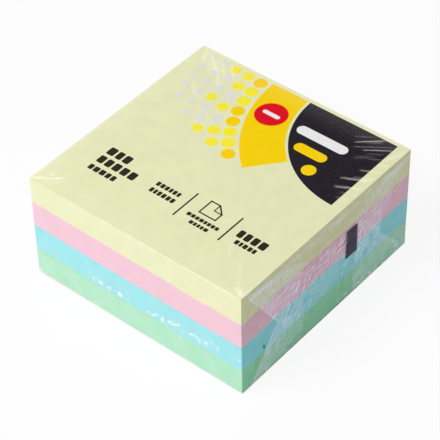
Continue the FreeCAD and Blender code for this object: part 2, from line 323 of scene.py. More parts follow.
def tuck_drop(crease):
    """Where a tuck's own crease meets its free edge, if it and the flap's crease are 45 degrees apart."""
    lean = math.atan2(END_REACH, crease[1] - crease[0]) - math.radians(45)
    return (END_REACH - crease[0]) * math.tan(lean)


PAST_EDGE = 3.0               # how far outlines run on past an end's own edges, into the sleeve


def tuck_outline(from_head, top_crease, bottom_crease):
    outer = [(-PAST_EDGE, SKIN_Z + PAST_EDGE), (-PAST_EDGE, -PAST_EDGE)]
    low = [(bottom_crease[0], -PAST_EDGE), (END_REACH, tuck_drop(bottom_crease))]
    high = [(END_REACH, SKIN_Z - tuck_drop(top_crease)), (top_crease[0], SKIN_Z + PAST_EDGE)]
    return [(SKIN_Y - u if from_head else u, w) for u, w in outer + low + high]


def gusset_outline(from_head, from_top, crease):
    points = [(crease[0], 0), (END_REACH, tuck_drop(crease)), (crease[1], END_REACH)]
    return corner_outline(points, from_head, from_top)


def flap_outline(from_top, foot_crease, head_crease):
    def past(crease):
        return crease[0] - PAST_EDGE * (crease[1] - crease[0]) / END_REACH

    foot = corner_outline([(past(foot_crease), -PAST_EDGE), (foot_crease[1], END_REACH)], False, from_top)
    head = corner_outline([(head_crease[1], END_REACH), (past(head_crease), -PAST_EDGE)], True, from_top)
    return foot + head


END_LAYERS = {
    "tuck_foot": tuck_outline(False, TOP_FOOT_CREASE, BOTTOM_FOOT_CREASE),
    "tuck_head": tuck_outline(True, TOP_HEAD_CREASE, BOTTOM_HEAD_CREASE),
    "gusset_top_foot": gusset_outline(False, True, TOP_FOOT_CREASE),
    "gusset_top_head": gusset_outline(True, True, TOP_HEAD_CREASE),
    "flap_top": flap_outline(True, TOP_FOOT_CREASE, TOP_HEAD_CREASE),
    "gusset_bottom_foot": gusset_outline(False, False, BOTTOM_FOOT_CREASE),
    "gusset_bottom_head": gusset_outline(True, False, BOTTOM_HEAD_CREASE),
    "flap_bottom": flap_outline(False, BOTTOM_FOOT_CREASE, BOTTOM_HEAD_CREASE),
}

END_CREASES = {               # along each flap's slanting folds, on both ends, painted lighter along the fold: from, to, half width, strength
    "flap_top": (
        ((2.2, 36.3), (8.7, 25.4), 0.34, 0.42), ((8.1, 26.4), (14.6, 17.4), 0.36, 0.38),
        ((14.2, 17.8), (18.0, 12.4), 0.60, 0.04), ((4.8, 34.2), (16.4, 17.6), 1.60, 0.10),
    ),
    "flap_bottom": (
        ((3.6, 1.2), (9.9, 10.4), 0.50, 0.22), ((9.3, 9.5), (14.7, 17.4), 0.50, 0.16),
        ((5.4, 0.8), (16.6, 16.4), 1.50, 0.12),
        ((75.4, 0.7), (67.9, 9.2), 0.36, 0.36), ((68.8, 8.2), (62.5, 15.8), 0.36, 0.34),
        ((73.2, 1.2), (61.6, 14.4), 1.50, 0.14),
        ((49.7, 10.2), (49.7, 1.0), 0.30, 0.10), ((26.5, 10.2), (26.5, 1.0), 0.30, 0.05),
    ),
    "tuck_head": (((75.4, 14.0), (75.6, 3.4), 0.24, 0.28),),
}
END_WRINKLES = (              # the rest, mirrored on the left end; negative strengths are painted shade
    ((50.2, 28.8), (56.6, 22.2), 0.44, 0.17), ((56.0, 22.9), (62.5, 15.4), 0.55, 0.18),
    ((61.1, 19.2), (61.6, 12.6), 1.21, 0.12), ((52.0, 26.0), (54.4, 22.2), 0.29, 0.13),
    ((4.2, 34.8), (13.2, 33.4), 0.99, 0.14), ((8.5, 34.9), (24.5, 30.4), 1.21, 0.10),
    ((5.6, 31.4), (21.0, 28.8), 1.32, 0.05), ((27.8, 34.6), (33.6, 33.4), 0.99, 0.08),
    ((37.6, 34.8), (46.6, 34.0), 0.77, 0.09), ((43.1, 35.7), (44.9, 34.3), 0.24, 0.21),
    ((54.6, 31.0), (74.4, 35.8), 0.88, 0.13), ((61.6, 35.7), (72.4, 33.0), 0.66, 0.11),
    ((60.2, 30.4), (69.8, 33.0), 0.66, 0.06), ((52.0, 18.6), (57.4, 12.0), 0.29, 0.16),
    ((53.6, 18.8), (58.2, 13.6), 0.24, 0.12), ((51.4, 16.8), (55.6, 12.2), 0.22, 0.12),
    ((50.4, 15.0), (54.6, 10.4), 0.26, 0.08), ((56.2, 17.4), (59.8, 11.0), 0.35, 0.08),
    ((54.8, 12.0), (57.2, 9.4), 0.26, 0.06), ((44.5, 16.0), (47.2, 12.0), 0.26, 0.16),
    ((46.2, 15.0), (49.2, 10.2), 0.24, 0.14), ((42.6, 14.6), (45.0, 11.4), 0.26, 0.08),
    ((57.4, 27.2), (63.4, 21.2), 0.77, 0.08), ((57.8, 25.6), (62.4, 24.4), 1.10, 0.08),
    ((64.8, 27.6), (68.2, 23.6), 0.66, 0.06), ((19.8, 28.9), (24.2, 24.4), 0.44, 0.08),
    ((22.6, 29.0), (27.6, 25.0), 0.35, 0.16), ((18.4, 27.7), (23.8, 21.4), 0.46, 0.08),
    ((12.4, 29.8), (17.8, 23.2), 0.55, 0.08), ((20.6, 25.8), (23.4, 21.4), 0.88, 0.02),
    ((10.4, 26.6), (13.6, 21.6), 0.66, 0.10), ((15.0, 17.6), (21.2, 13.6), 0.40, 0.10),
    ((16.4, 16.2), (20.8, 12.0), 0.36, 0.07), ((23.8, 16.8), (27.8, 11.8), 0.45, 0.04),
    ((13.6, 16.8), (12.2, 10.8), 1.21, 0.06), ((28.6, 27.4), (34.0, 22.4), 0.40, 0.07),
    ((33.6, 26.8), (38.6, 21.6), 0.40, 0.07), ((37.2, 26.4), (41.8, 22.6), 0.44, 0.06),
    ((71.6, 9.6), (73.9, 4.0), 0.33, 0.12), ((73.4, 4.4), (75.0, 1.8), 0.29, 0.20),
    ((5.4, 24.8), (8.2, 21.8), 0.55, 0.03), ((1.4, 33.6), (1.8, 20.6), 0.55, 0.03),
    ((9.6, 9.8), (14.2, 3.2), 1.10, 0.04), ((19.6, 15.2), (22.2, 18.6), 0.60, -0.26),
    ((45.0, 12.6), (50.0, 15.0), 1.10, -0.16), ((50.4, 10.6), (57.0, 13.4), 1.10, -0.14),
    ((57.2, 18.4), (58.6, 13.0), 0.90, -0.16), ((24.2, 24.0), (27.4, 27.0), 0.50, -0.16),
    ((16.0, 13.0), (18.6, 16.4), 0.40, -0.14), ((25.0, 13.2), (29.4, 16.2), 0.50, -0.12),
    ((21.6, 21.2), (25.6, 25.2), 0.45, 0.12), ((22.8, 21.4), (25.8, 24.0), 0.30, 0.06),
    ((22.0, 21.8), (23.2, 19.6), 0.50, -0.20), ((30.4, 11.6), (33.4, 11.2), 0.80, -0.08),
    ((27.0, 30.6), (46.0, 30.2), 1.40, -0.04), ((2.2, 1.6), (8.2, 9.6), 0.95, -0.06),
    ((4.6, 28.0), (8.9, 25.2), 0.80, -0.10), ((7.6, 13.6), (12.2, 15.8), 1.00, -0.06),
    ((63.6, 15.0), (66.8, 11.4), 0.60, -0.08), ((64.6, 18.6), (67.6, 15.0), 0.50, -0.05),
)


END_SHADOW_SPECK = (((9.2, 12.0), (9.8, 10.3), 0.30, -0.90),)    # painted shadow of a gap between the layers, beside the marked end's bottom flap


CRUMPLE_LINES = ((12, 0.55), (38, 0.8), (68, 0.5))     # rise to the head side in degrees, and share


def crumple(v, z, seed):
    """Creases of about -1 to 1, drawn out along lines that rise, gently or steeply, to the head side."""
    total = 0
    for i, (rise, share) in enumerate(CRUMPLE_LINES):
        c, s = math.cos(math.radians(rise)), math.sin(math.radians(rise))
        along = v * c + z * s
        across = z * c - v * s + 0.5 * ripple(v, z, scale=5.0, seed=seed + 10 + i)
        soft = ripple(0.36 * along, across, 0.62, seed + 20 + i, waves=24)
        sharp = (1 - 2.2 * np.abs(ripple(0.30 * along, across, 1.2, seed + 30 + i, waves=24))).clip(0) ** 1.5
        total += share * (0.7 * soft + 0.8 * (sharp - 0.22))
    return total


def end_roughness(v, z, depths, steps, layers):
    """How crumpled an end is: most where both flaps lie on each other and were sealed."""
    under_flap = np.maximum(steps["flap_top"], steps["flap_bottom"])
    sealed = smoothstep(0, 1.5, depths["flap_top"]) * smoothstep(0, 1.5, depths["flap_bottom"])
    rough = 0.46 + 0.28 * under_flap + sealed * (0.55 + 0.10 * smoothstep(1.8, 4.2, layers))
    # The band at the second pad's height is the most crumpled, and the bottom flap's middle the least
    rough *= 1 + 0.6 * smoothstep(18.4, 19.8, z) * falloff(27.0, 29.5, z)
    return rough * (1 - 0.6 * smoothstep(30, 33, v) * falloff(41, 44, v) * falloff(17, 19, z))


def end_milk(v, z, depths, steps, layers, seed):
    """Haze of the layers that lie on an end."""
    # On the head half the top flap and its gusset turn milky over 5 mm from their edges, not at once
    far_half = v > SKIN_Y / 2
    gentle = ("flap_top", "gusset_top_head")
    thin = sum(far_half * (steps[name] - smoothstep(0, 5, depths[name])) for name in gentle)
    haze_and_painted_light = HAZE_LAYERS * (1 - np.exp(-0.42 * (layers - thin - 1).clip(0)))
    haze_and_painted_light *= 1 + 0.20 * ripple(v, z, scale=6.0, seed=seed + 2)
    haze_and_painted_light += steps["flap_top"] * (0.03 + 0.08 * smoothstep(31.5, 34.5, z))
    bare_tuck = steps["tuck_head"] * (1 - np.maximum(steps["flap_top"], steps["flap_bottom"]))
    return haze_and_painted_light + bare_tuck * (0.05 + 0.13 * falloff(7.5, 11.5, z))


def end_strokes(seed, flipped):
    """Wrinkles that run over an end's layers, and rows of short ones by its lower and upper edge."""
    for start, end, width, strength in END_WRINKLES:
        if flipped:
            start, end = (SKIN_Y - start[0], start[1]), (SKIN_Y - end[0], end[1])
        yield start, end, width, strength
    yield from seeded_strokes(seed + 4, 46, (4, 1.0), (71, 3.8), reach=(1.2, 3.0),
                              turn=(-60, -25), width=(0.16, 0.3), strength=(0.08, 0.30))
    yield from seeded_strokes(seed + 6, 26, (4, 34.6), (72, 36.2), reach=(1.2, 3.2),
                              turn=(-60, -25), width=(0.18, 0.3), strength=(0.04, 0.16))


def beside_eye_mark(v, z):
    """Distance out from the eye mark's sides, negative on the mark."""
    middle = (SKIN_Y - EYE_MARK_INSET - EYE_MARK_Y / 2, END_REACH - EYE_MARK_Z / 2)
    return np.maximum(np.abs(v - middle[0]) - EYE_MARK_Y / 2, np.abs(z - middle[1]) - EYE_MARK_Z / 2)


def end_relief(v, z, seed, flipped, marked):
    """Layers folded over an end, v from the foot side, with the crinkles of the heat seal."""
    depths = {name: depth_inside(v, z, outline) for name, outline in END_LAYERS.items()}
    steps = {name: smoothstep(*LAYER_EDGE, depth) for name, depth in depths.items()}
    layers = sum(steps.values())
    rough = end_roughness(v, z, depths, steps, layers)
    folds = rough * (0.8 + 0.4 * ripple(v, z, scale=4.5, seed=seed + 3)) * crumple(v, z, seed)
    height = LAYER_T * layers + CRUMPLE_RISE * (folds + rough)
    # The creases are painted lighter and darker, as lit folds would look
    haze_and_painted_light = end_milk(v, z, depths, steps, layers, seed) + CRUMPLE_LIGHT_AND_SHADE * folds
    for name, creases in END_CREASES.items():
        add_strokes(height, haze_and_painted_light, v, z, creases, steps[name])
    add_strokes(height, haze_and_painted_light, v, z, end_strokes(seed, flipped))
    height += LAYER_T * steps["tuck_foot"] * seam_band(z) * (1 - 0.5 * steps["flap_bottom"])
    if marked:
        add_strokes(height, haze_and_painted_light, v, z, END_SHADOW_SPECK)
        haze_and_painted_light *= 0.15 + 0.85 * smoothstep(-0.1, 0.3, beside_eye_mark(v, z))
    inside = smoothstep(0.0, 0.9, edge_distance(v, z, SKIN_Y, SKIN_Z))
    return height * inside, haze_and_painted_light.clip(*HAZE_RANGE) * inside * smoothstep(0.0, 1.8, SKIN_Z - z)


def draped(base):
    """Moves points of the skin's box onto the film's outer surface. Returns the points and their haze, which
    also holds painted glints and painted shade.
    """
    bend = BEND_R_UNDER + (BEND_R - BEND_R_UNDER) * smoothstep(0.5, 4.0, base[..., 2])[..., None]
    core = np.clip(base, SKIN_LOW + bend, SKIN_HIGH - bend)
    away = base - core
    normal = away / np.linalg.norm(away, axis=-1, keepdims=True)
    u, v, z = base[..., 0] - SKIN_LOW[0], base[..., 1] - SKIN_LOW[1], base[..., 2]
    share = normal ** 2
    height = np.zeros(u.shape)
    haze_and_painted_light = np.full(u.shape, HAZE_FILM)
    sides = (
        (normal[..., 2] > 0, share[..., 2], lambda m: top_relief(u[m], v[m])),
        (normal[..., 1] < 0, share[..., 1], lambda m: long_side_relief(u[m], z[m], True)),
        (normal[..., 1] > 0, share[..., 1], lambda m: long_side_relief(u[m], z[m], False)),
        (normal[..., 0] > 0, share[..., 0], lambda m: end_relief(v[m], z[m], RIGHT_SEED, False, True)),
        (normal[..., 0] < 0, share[..., 0], lambda m: end_relief(v[m], z[m], LEFT_SEED, True, False)),
    )
    for facing, part, relief in sides:
        mask = facing & (part > 1e-6)
        if mask.any():
            raised, relief_haze_and_light = relief(mask)
            height[mask] += part[mask] * raised
            haze_and_painted_light[mask] += part[mask] * relief_haze_and_light
    return core + normal * (bend + height[..., None]), haze_and_painted_light


# The film's haze attribute also carries painted glints on crests and, below zero, painted shade
def set_haze_and_painted_light(thing, values):
    attribute = thing.data.attributes.new("haze_and_painted_light", "FLOAT", "POINT")
    attribute.data.foreach_set("value", np.asarray(values, float).ravel())


def film_sleeve():
    """Film round the label, the long sides and the underside, closed by its inner face on the block."""
    xs = SKIN_LOW[0] + grid_lines(SKIN_X, fine=0.3, reach=16, coarse=0.5)
    ys = SKIN_LOW[1] + grid_lines(SKIN_Y, fine=0.35, reach=27, coarse=0.8)
    ys_under = SKIN_LOW[1] + grid_lines(SKIN_Y, fine=1.5, reach=6, coarse=3)
    zs = SKIN_LOW[2] + grid_lines(SKIN_Z, fine=0.5, reach=4, coarse=0.4)
    loop = [(y, SKIN_HIGH[2]) for y in ys[:-1]] + [(SKIN_HIGH[1], z) for z in zs[:0:-1]]
    loop += [(y, SKIN_LOW[2]) for y in ys_under[:0:-1]] + [(SKIN_LOW[1], z) for z in zs[:-1]]
    loop = np.array(loop)
    base = np.empty((len(xs), len(loop), 3))
    base[..., 0] = xs[:, None]
    base[..., 1:] = loop[None]
    outer, haze_and_painted_light = draped(base)
    ends = np.clip(outer[[0, -1]], BLOCK_LOW - [0, 0, FILM_T], BLOCK_HIGH + [0, 0, FILM_T])
    points = np.concatenate([outer.reshape(-1, 3), ends.reshape(-1, 3)])
    rows, columns = len(xs), len(loop)
    faces = grid_quads(rows, columns, closed=True)
    first, last = rows * columns, (rows + 1) * columns
    for j in range(columns):
        k = (j + 1) % columns
        faces.append((j, first + j, first + k, k))
        faces.append((first + j, last + j, last + k, first + k))
        faces.append((last + j, (rows - 1) * columns + j, (rows - 1) * columns + k, last + k))
    sleeve = piece("film_sleeve", points, faces)
    set_haze_and_painted_light(sleeve, np.concatenate([haze_and_painted_light.ravel(), np.zeros(2 * columns)]))
    return sleeve


def closed_patch(name, outer, back_x, haze_and_painted_light=None):
    """Grid of points closed by a flat face behind it at one X."""
    rows, columns = outer.shape[:2]
    faces = grid_quads(rows, columns)
    index = np.arange(rows * columns).reshape(rows, columns)
    rim = np.concatenate([index[0, :-1], index[:-1, -1], index[-1, :0:-1], index[:0:-1, 0]])
    behind = outer.reshape(-1, 3)[rim].copy()
    behind[:, 0] = back_x
    first = rows * columns
    count = len(rim)
    for j in range(count):
        k = (j + 1) % count
        faces.append((rim[j], first + j, first + k, rim[k]))
    faces.append([first + j for j in range(count)])
    patch = piece(name, np.concatenate([outer.reshape(-1, 3), behind]), faces)
    if haze_and_painted_light is not None:
        set_haze_and_painted_light(patch, np.concatenate([haze_and_painted_light.ravel(), np.zeros(count)]))
    return patch


def end_points(x, ys, zs):
    """Grid of points over an end, before they are draped."""
    base = np.empty((len(ys), len(zs), 3))
    base[..., 0] = x
    base[..., 1] = ys[:, None]
    base[..., 2] = zs[None]
    return base


END_GRID = 0.22


def film_end(name, side):
    """Folded film on one end, side 1 at the label's right and -1 at its left."""
    ys = SKIN_LOW[1] + grid_lines(SKIN_Y, fine=END_GRID, reach=2, coarse=END_GRID)
    zs = SKIN_LOW[2] + grid_lines(SKIN_Z, fine=END_GRID, reach=2, coarse=END_GRID)
    outer, haze_and_painted_light = draped(end_points(SKIN_HIGH[0] if side > 0 else SKIN_LOW[0], ys, zs))
    return closed_patch(name, outer, (BLOCK_HIGH if side > 0 else BLOCK_LOW)[0], haze_and_painted_light)


def eye_mark():
    """Dark mark on the bottom flap's free edge, just under the film's surface."""
    ys = BLOCK_HIGH[1] - EYE_MARK_INSET - np.linspace(EYE_MARK_Y, 0, 21)
    zs = END_REACH - np.linspace(EYE_MARK_Z, 0, 41)
    outer, _ = draped(end_points(SKIN_HIGH[0], ys, zs))
    outer[..., 0] -= EYE_MARK_SUNK
    return closed_patch("eye_mark_print", outer, outer[..., 0].min() - EYE_MARK_T)


# Pads of notes


# How far the pads' rims leave their flat level, from the lowest pad's underside to the top pad's face:
# at the label's left foot corner, at its right foot corner, along its right end, and in small waves
RIM_LEFT = (0.70, 0.75, 0.50, 0.35, 0.0)
RIM_RIGHT = (-0.05, -0.30, -0.35, -0.65, 0.0)
RIM_END = (0.0, 0.05, 0.15, 0.25, 0.0)
RIM_WAVE = (0.05, 0.07, 0.07, 0.07, 0.0)
RIM_CURL = 0.32               # the wrap draws the lowest sheets' rims up off the backing
RIM_REACH = 3.5               # how far in from the sides a rim is flat again


def rim_shift(level, u, v):
    """How far the rim between two pads is off its flat level, u and v from the label's left foot corner."""
    by_left = falloff(0, 30, u) * falloff(0, 30, v)
    by_right = smoothstep(15, NOTE_X, u) * falloff(0, 28, v)
    by_end = smoothstep(60, NOTE_X, u) * np.sin(np.pi * np.clip(v / NOTE_Y, 0, 1))
    shift = RIM_LEFT[level] * by_left + RIM_RIGHT[level] * by_right + RIM_END[level] * by_end
    shift += RIM_WAVE[level] * ripple(u, v, scale=7, seed=300 + level)
    return shift + (RIM_CURL if level == 0 else 0)


SHEET_INSET = 0.012           # least that a sheet's cut edge stands in from the pad's side
SHEET_SCATTER = 0.010         # how much more it may stand in, sheet by sheet
SHEET_SWAY = 0.008            # and in a slow wave along the sides and from sheet to sheet
SHEET_GROOVE = 0.012          # depth of the groove between two sheets
SHEET_EDGE = (0.12, 0.88)     # the cut edge's part of a sheet's thickness, beside the groove
CORNER_PULL = 0.00125         # share of the way to the pad's middle by which the corners are drawn in


def pad(name, level, low, high, seed):
    """A hundred notes as one solid, with each sheet's cut edge standing a little in or out."""
    dice = np.random.default_rng(seed)
    x0, y0, x1, y1 = low[0], low[1], high[0], high[1]
    length = x1 - x0
    side = np.concatenate([[0.0, 0.4], np.linspace(1.5, length - 1.5, 22), [length - 0.4]])
    ring = [(x0 + t, y0, 0, -1) for t in side] + [(x1, y0 + t, 1, 0) for t in side]
    ring += [(x1 - t, y1, 0, 1) for t in side] + [(x0, y1 - t, -1, 0) for t in side]
    ring = np.array(ring)
    foot = low[2] + rim_shift(level, ring[:, 0] - x0, ring[:, 1] - y0)
    head = high[2] + rim_shift(level + 1, ring[:, 0] - x0, ring[:, 1] - y0)
    middle = np.array([(x0 + x1) / 2, (y0 + y1) / 2])
    rows = []
    for k in range(SHEETS_PER_PAD):
        sway = 1 + np.sin(ring[:, 0] * 0.11 + ring[:, 1] * 0.07 + k * 0.19)
        inset = SHEET_INSET + SHEET_SCATTER * dice.random() + SHEET_SWAY * sway
        for share, groove in ((SHEET_EDGE[0], 0.0), (SHEET_EDGE[1], 0.0), (1.0, SHEET_GROOVE)):
            xy = ring[:, :2] - ring[:, 2:] * (inset + groove)[:, None]
            by_corner = np.abs(xy - middle).min(1) > length / 2 - 0.5
            xy += (middle - xy) * CORNER_PULL * by_corner[:, None]
            rows.append(np.column_stack([xy, foot + (head - foot) * (k + share) / SHEETS_PER_PAD]))
    rows[0][:, 2] = foot
    inner = np.clip(ring[:, :2], [x0 + RIM_REACH, y0 + RIM_REACH], [x1 - RIM_REACH, y1 - RIM_REACH])
    rows.insert(0, np.column_stack([inner, np.full(len(ring), low[2])]))
    rows.append(np.column_stack([inner, np.full(len(ring), high[2])]))
    rows = np.array(rows)
    count, columns = rows.shape[:2]
    faces = grid_quads(count, columns, closed=True)
    faces.append(list(range(columns))[::-1])
    faces.append(list(range((count - 1) * columns, count * columns)))
    return piece(name, rows.reshape(-1, 3), faces, smooth=False)


# Text row: blocks in place of letters, rules and a page with a turned corner


TEXT_BARS = (                 # left, foot, length, height, blocks
    (9.5, 21.2, 8.1, 3.2, 3), (9.5, 17.0, 13.7, 3.1, 5), (9.5, 13.4, 9.7, 2.1, 5),
    (29.2, 19.9, 8.4, 1.7, 6), (29.2, 16.9, 8.7, 1.8, 6),
    (43.5, 16.1, 11.0, 1.3, 8), (46.1, 13.9, 6.4, 1.3, 5),
    (59.5, 17.8, 9.6, 3.0, 4), (60.8, 15.3, 7.1, 1.7, 5),
)
RULES = (40.7, 56.6)
RULE_FOOT = 13.6
RULE_LENGTH = 11.0
RULE_W = 0.5
ICON_LEFT, ICON_FOOT = 45.6, 18.8
ICON_X, ICON_Y, ICON_EAR, ICON_LINE = 6.1, 5.9, 2.6, 0.45
INK_T = 0.02
BLOCK_GAP = 0.2               # between the blocks of a line, as a share of its height
BLOCK_ROUND = 0.16            # and the radius of their corners
RULE_ROUND = 0.1
EAR_LINE = 0.8 * ICON_LINE
CORNER_STEPS = 4


def slab(points, faces, outline):
    """Adds a flat piece of ink of the given outline, from the label's foot corner, to a mesh's lists."""
    first = len(points)
    count = len(outline)
    for z in (LABEL_Z, LABEL_Z + INK_T):
        points += [(BLOCK_LOW[0] + u, BLOCK_LOW[1] + v, z) for u, v in outline]
    faces.append([first + i for i in range(count)][::-1])
    faces.append([first + count + i for i in range(count)])
    for i in range(count):
        k = (i + 1) % count
        faces.append((first + i, first + k, first + count + k, first + count + i))


def rounded_block(left, foot, length, height, radius):
    """Outline of a rectangle with rounded corners."""
    low_u, high_u = left + radius, left + length - radius
    low_v, high_v = foot + radius, foot + height - radius
    outline = []
    for cu, cv, turn in ((high_u, low_v, -90), (high_u, high_v, 0), (low_u, high_v, 90), (low_u, low_v, 180)):
        for i in range(CORNER_STEPS + 1):
            angle = math.radians(turn + 90 * i / CORNER_STEPS)
            outline.append((cu + radius * math.cos(angle), cv + radius * math.sin(angle)))
    return outline


def line_block(start, end, width):
    """Straight line of print with square ends."""
    start, end = np.array(start, float), np.array(end, float)
    along = (end - start) / np.hypot(*(end - start)) * width / 2
    side = np.array([-along[1], along[0]])
    return [start - along - side, end + along - side, end + along + side, start - along + side]


def text_row():
    """All the print in the row of text, as one piece."""
    points, faces = [], []
    dice = np.random.default_rng(9)
    for left, foot, length, height, blocks in TEXT_BARS:
        gap = BLOCK_GAP * height
        shares = dice.uniform(0.8, 1.2, blocks)
        widths = shares / shares.sum() * (length - gap * (blocks - 1))
        for width in widths:
            slab(points, faces, rounded_block(left, foot, width, height, BLOCK_ROUND * height))
            left += width + gap
    for u in RULES:
        slab(points, faces, rounded_block(u, RULE_FOOT, RULE_W, RULE_LENGTH, RULE_ROUND))
    left, foot = ICON_LEFT + ICON_LINE / 2, ICON_FOOT + ICON_LINE / 2
    right, top = left + ICON_X - ICON_LINE, foot + ICON_Y - ICON_LINE
    fold_u, fold_v = right - ICON_EAR, top - ICON_EAR
    page = ((left, foot), (right, foot), (right, fold_v), (fold_u, top), (left, top), (left, foot))
    for start, end in zip(page, page[1:]):
        slab(points, faces, line_block(start, end, ICON_LINE))
    ear = (((fold_u, top - ICON_LINE), (fold_u, fold_v)),
           ((fold_u + ICON_LINE, fold_v), (right - ICON_LINE, fold_v)))
    for start, end in ear:
        slab(points, faces, line_block(start, end, EAR_LINE))
    return piece("print_text_row", points, faces, smooth=False)


# Materials


def new_material(name, colour, roughness):
    """Material with one Principled shader. Returns it with its node tree and that shader."""
    material = bpy.data.materials.new(name)
    material.use_nodes = True
    tree = material.node_tree
    shader = tree.nodes["Principled BSDF"]
    shader.inputs["Base Color"].default_value = (*colour, 1)
    shader.inputs["Roughness"].default_value = roughness
    return material, tree, shader


def link(tree, source, target):
    tree.links.new(source, target)


def maths(tree, operation, *values, clamp=False):
    """Result of a calculation on numbers or on other nodes' outputs."""
    node = tree.nodes.new("ShaderNodeMath")
    node.operation = operation
    node.use_clamp = clamp
    for socket, value in zip(node.inputs, values):
        if isinstance(value, float):
            socket.default_value = value
        else:
            link(tree, value, socket)
    return node.outputs["Value"]


def map_range(tree, value, to_low, to_high, from_low=0.0, from_high=1.0):
    """Moves a value in proportion from one range to another."""
    node = tree.nodes.new("ShaderNodeMapRange")
    ends = {"From Min": from_low, "From Max": from_high, "To Min": to_low, "To Max": to_high}
    for name, end in ends.items():
        node.inputs[name].default_value = end
    link(tree, value, node.inputs["Value"])
    return node.outputs["Result"]


def noise(tree, scale, detail):
    """Noise over the part's own coordinates. Scale is in features per metre."""
    place = tree.nodes.new("ShaderNodeTexCoord")
    field = tree.nodes.new("ShaderNodeTexNoise")
    field.inputs["Scale"].default_value = scale
    field.inputs["Detail"].default_value = detail
    link(tree, place.outputs["Object"], field.inputs["Vector"])
    return field.outputs["Fac"]


def two_tones(tree, fac, dark, light, low=0.35, high=0.65):
    """Colour that goes from dark to light as a field goes from low to high."""
    ramp = tree.nodes.new("ShaderNodeValToRGB")
    ramp.color_ramp.elements[0].position = low
    ramp.color_ramp.elements[0].color = (*dark, 1)
    ramp.color_ramp.elements[1].position = high
    ramp.color_ramp.elements[1].color = (*light, 1)
    link(tree, fac, ramp.inputs["Fac"])
    return ramp.outputs["Color"]


def bump(tree, height, distance, strength):
    """Small relief in the shading alone. Distance is in metres."""
    node = tree.nodes.new("ShaderNodeBump")
    node.inputs["Strength"].default_value = strength
    node.inputs["Distance"].default_value = distance
    link(tree, height, node.inputs["Height"])
    return node.outputs["Normal"]


def mixed_surface(tree, share, first, second):
    """Gives the material's surface two shaders, with the second one's share."""
    mix = tree.nodes.new("ShaderNodeMixShader")
    link(tree, share, mix.inputs["Fac"])
    link(tree, first, mix.inputs[1])
    link(tree, second, mix.inputs[2])
    link(tree, mix.outputs["Shader"], tree.nodes["Material Output"].inputs["Surface"])


def scaled(colour, factor):
    return tuple(min(1.0, c * factor) for c in colour)


SHEET_SHADE = (0.965, 0.965, 0.965)     # of the darkest sheet on the cut sides


def paper_material(name, colour):
    """Uncoated note paper: cloudy formation, short fibres, and a faint shade for each sheet on cut sides."""
    material, tree, shader = new_material(name, colour, roughness=0.88)
    mix = tree.nodes.new("ShaderNodeMix")
    mix.data_type = "RGBA"
    mix.blend_type = "MULTIPLY"
    mix.inputs["Factor"].default_value = 1.0
    cloud = noise(tree, scale=260, detail=4)
    link(tree, two_tones(tree, cloud, scaled(colour, 0.975), scaled(colour, 1.015)), mix.inputs["A"])
    place = tree.nodes.new("ShaderNodeTexCoord")
    parts = tree.nodes.new("ShaderNodeSeparateXYZ")
    link(tree, place.outputs["Object"], parts.inputs["Vector"])
    sheet = maths(tree, "FLOOR", maths(tree, "MULTIPLY", parts.outputs["Z"], 1 / (SHEET_T * MM)))
    tint = tree.nodes.new("ShaderNodeTexWhiteNoise")
    tint.noise_dimensions = "1D"
    link(tree, sheet, tint.inputs["W"])
    shades = two_tones(tree, tint.outputs["Value"], SHEET_SHADE, (1, 1, 1), low=0, high=1)
    link(tree, shades, mix.inputs["B"])
    link(tree, mix.outputs["Result"], shader.inputs["Base Color"])
    shader.inputs["Specular IOR Level"].default_value = 0.25
    fibres = bump(tree, noise(tree, scale=5200, detail=5), distance=0.00001, strength=0.35)
    link(tree, fibres, shader.inputs["Normal"])
    return material


INK_ROUGHNESS = 0.32


def ink_material(name, colour):
    """Ink laid on the film's inner side: nearly even, with faint cells of the print."""
    material, tree, shader = new_material(name, colour, INK_ROUGHNESS)
    cells = noise(tree, scale=1500, detail=5)
    tones = two_tones(tree, cells, scaled(colour, 0.94), scaled(colour, 1.04))
    link(tree, tones, shader.inputs["Base Color"])
    shader.inputs["Specular IOR Level"].default_value = 0.03
    patchy = map_range(tree, noise(tree, scale=420, detail=3), INK_ROUGHNESS - 0.06, INK_ROUGHNESS + 0.08)
    link(tree, patchy, shader.inputs["Roughness"])
    link(tree, bump(tree, cells, distance=0.000004, strength=0.3), shader.inputs["Normal"])
    return material


def film_material(name, veil_colour):
    """Clear film: mostly see-through and glossy, milkier where layers lie on each other, with painted glints
    along wrinkles.
    """
    material, tree, shader = new_material(name, veil_colour, roughness=0.16)
    shader.inputs["Metallic"].default_value = 0.6
    link(tree, map_range(tree, noise(tree, scale=350, detail=4), 0.10, 0.26), shader.inputs["Roughness"])
    grain = bump(tree, noise(tree, scale=1600, detail=4), distance=0.000008, strength=0.5)
    link(tree, grain, shader.inputs["Normal"])
    haze_and_painted_light = tree.nodes.new("ShaderNodeAttribute")
    haze_and_painted_light.attribute_name = "haze_and_painted_light"
    scuffs = map_range(tree, noise(tree, scale=900, detail=5), 0.85, 1.2, 0.35, 0.75)
    veil = maths(tree, "MULTIPLY", haze_and_painted_light.outputs["Fac"], scuffs, clamp=True)
    # Light on its way to the paper isn't stopped, because real film passes on what it scatters
    path = tree.nodes.new("ShaderNodeLightPath")
    seen = maths(tree, "MULTIPLY", veil, maths(tree, "SUBTRACT", 1.0, path.outputs["Is Shadow Ray"]))
    # Where the haze is below zero the film bends light aside, and what is behind it is painted darker as
    # shade
    clear = tree.nodes.new("ShaderNodeBsdfTransparent")
    link(tree, map_range(tree, haze_and_painted_light.outputs["Fac"], 0.45, 1.0, HAZE_RANGE[0], 0.0), clear.inputs["Color"])
    mixed_surface(tree, seen, clear.outputs["BSDF"], shader.outputs["BSDF"])
    return material


def dress(thing, material):
    """Gives a piece made here one material."""
    thing.data.materials.clear()
    thing.data.materials.append(material)


def dress_node(name, material):
    """Gives one of the frame's nodes one material."""
    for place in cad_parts[name].material_slots:
        place.material = material


# The part


